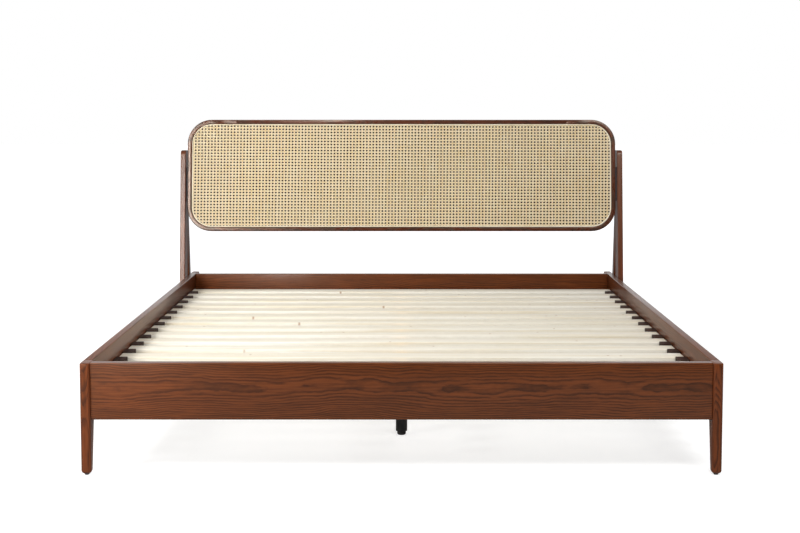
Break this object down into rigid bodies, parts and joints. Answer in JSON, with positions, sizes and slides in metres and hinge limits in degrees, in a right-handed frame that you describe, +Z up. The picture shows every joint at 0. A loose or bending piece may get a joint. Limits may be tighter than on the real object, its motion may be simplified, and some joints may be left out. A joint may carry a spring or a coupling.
{
  "type": "wooden bed frame",
  "caption": "King-size platform bed frame in dark walnut finish with pale slats and a leaning rounded cane headboard on braced side posts.",
  "frame": {"origin": "on the floor, under the middle of the bed's overall box", "axes": "+X across the bed to the right seen from the foot end, +Y from the foot end to the headboard, +Z up"},
  "size_m": [2.0866, 2.208, 1.0966],
  "materials": {
    "walnut": "walnut-stained ash, satin lacquer, bold straight and cathedral grain",
    "dark_walnut": "dark stained softwood, matt",
    "pale_slat": "unfinished pale pine, smooth sawn",
    "beam_wood": "clear-lacquered plywood",
    "cane": "natural rattan cane webbing in octagonal weave, matt",
    "spline": "natural reed spline",
    "black_paint": "satin black",
    "black_plastic": "matt black",
    "steel": "zinc plated, satin"
  },
  "bodies": {
    "frame": {"front_left_leg": "walnut", "front_left_glide": "black_plastic", "corner_bracket_front_left": "steel", "front_right_leg": "walnut", "front_right_glide": "black_plastic", "corner_bracket_front_right": "steel", "rear_left_leg": "walnut", "rear_left_glide": "black_plastic", "corner_bracket_rear_left": "steel", "rear_right_leg": "walnut", "rear_right_glide": "black_plastic", "corner_bracket_rear_right": "steel", "side_rail_left": "walnut", "headboard_post_left": "walnut", "headboard_brace_left": "walnut", "post_bolt_left": "steel", "brace_bolt_left": "steel", "headboard_plate_left": "black_paint", "slat_ledge_left": "dark_walnut", "headboard_rim_left": "walnut", "side_rail_right": "walnut", "headboard_post_right": "walnut", "headboard_brace_right": "walnut", "post_bolt_right": "steel", "brace_bolt_right": "steel", "headboard_plate_right": "black_paint", "slat_ledge_right": "dark_walnut", "headboard_rim_right": "walnut", "front_rail": "walnut", "back_rail": "walnut", "headboard_rim_top": "walnut", "headboard_rim_bottom": "walnut", "headboard_back_board": "dark_walnut", "cane_panel": "cane", "cane_spline": "spline", "centre_beam": "beam_wood", "beam_bracket_front": "steel", "beam_bracket_rear": "steel", "centre_leg_front": "black_paint", "centre_leg_middle": "black_paint", "centre_leg_rear": "black_paint", "slat_01": "pale_slat", "slat_02": "pale_slat", "slat_03": "pale_slat", "slat_04": "pale_slat", "slat_05": "pale_slat", "slat_06": "pale_slat", "slat_07": "pale_slat", "slat_08": "pale_slat", "slat_09": "pale_slat", "slat_10": "pale_slat", "slat_11": "pale_slat", "slat_12": "pale_slat", "slat_13": "pale_slat", "slat_14": "pale_slat"},
    "levelling_foot_front": {"levelling_foot_front": "black_plastic"},
    "levelling_foot_middle": {"levelling_foot_middle": "black_plastic"},
    "levelling_foot_rear": {"levelling_foot_rear": "black_plastic"}
  },
  "joints": [
    {"name": "levelling_foot_front_screw", "type": "slide", "parent": "frame", "child": "levelling_foot_front", "axis": [0, 0, 1], "range_m": [0, 0.01]},
    {"name": "levelling_foot_middle_screw", "type": "slide", "parent": "frame", "child": "levelling_foot_middle", "axis": [0, 0, 1], "range_m": [0, 0.01]},
    {"name": "levelling_foot_rear_screw", "type": "slide", "parent": "frame", "child": "levelling_foot_rear", "axis": [0, 0, 1], "range_m": [0, 0.01]}
  ]
}
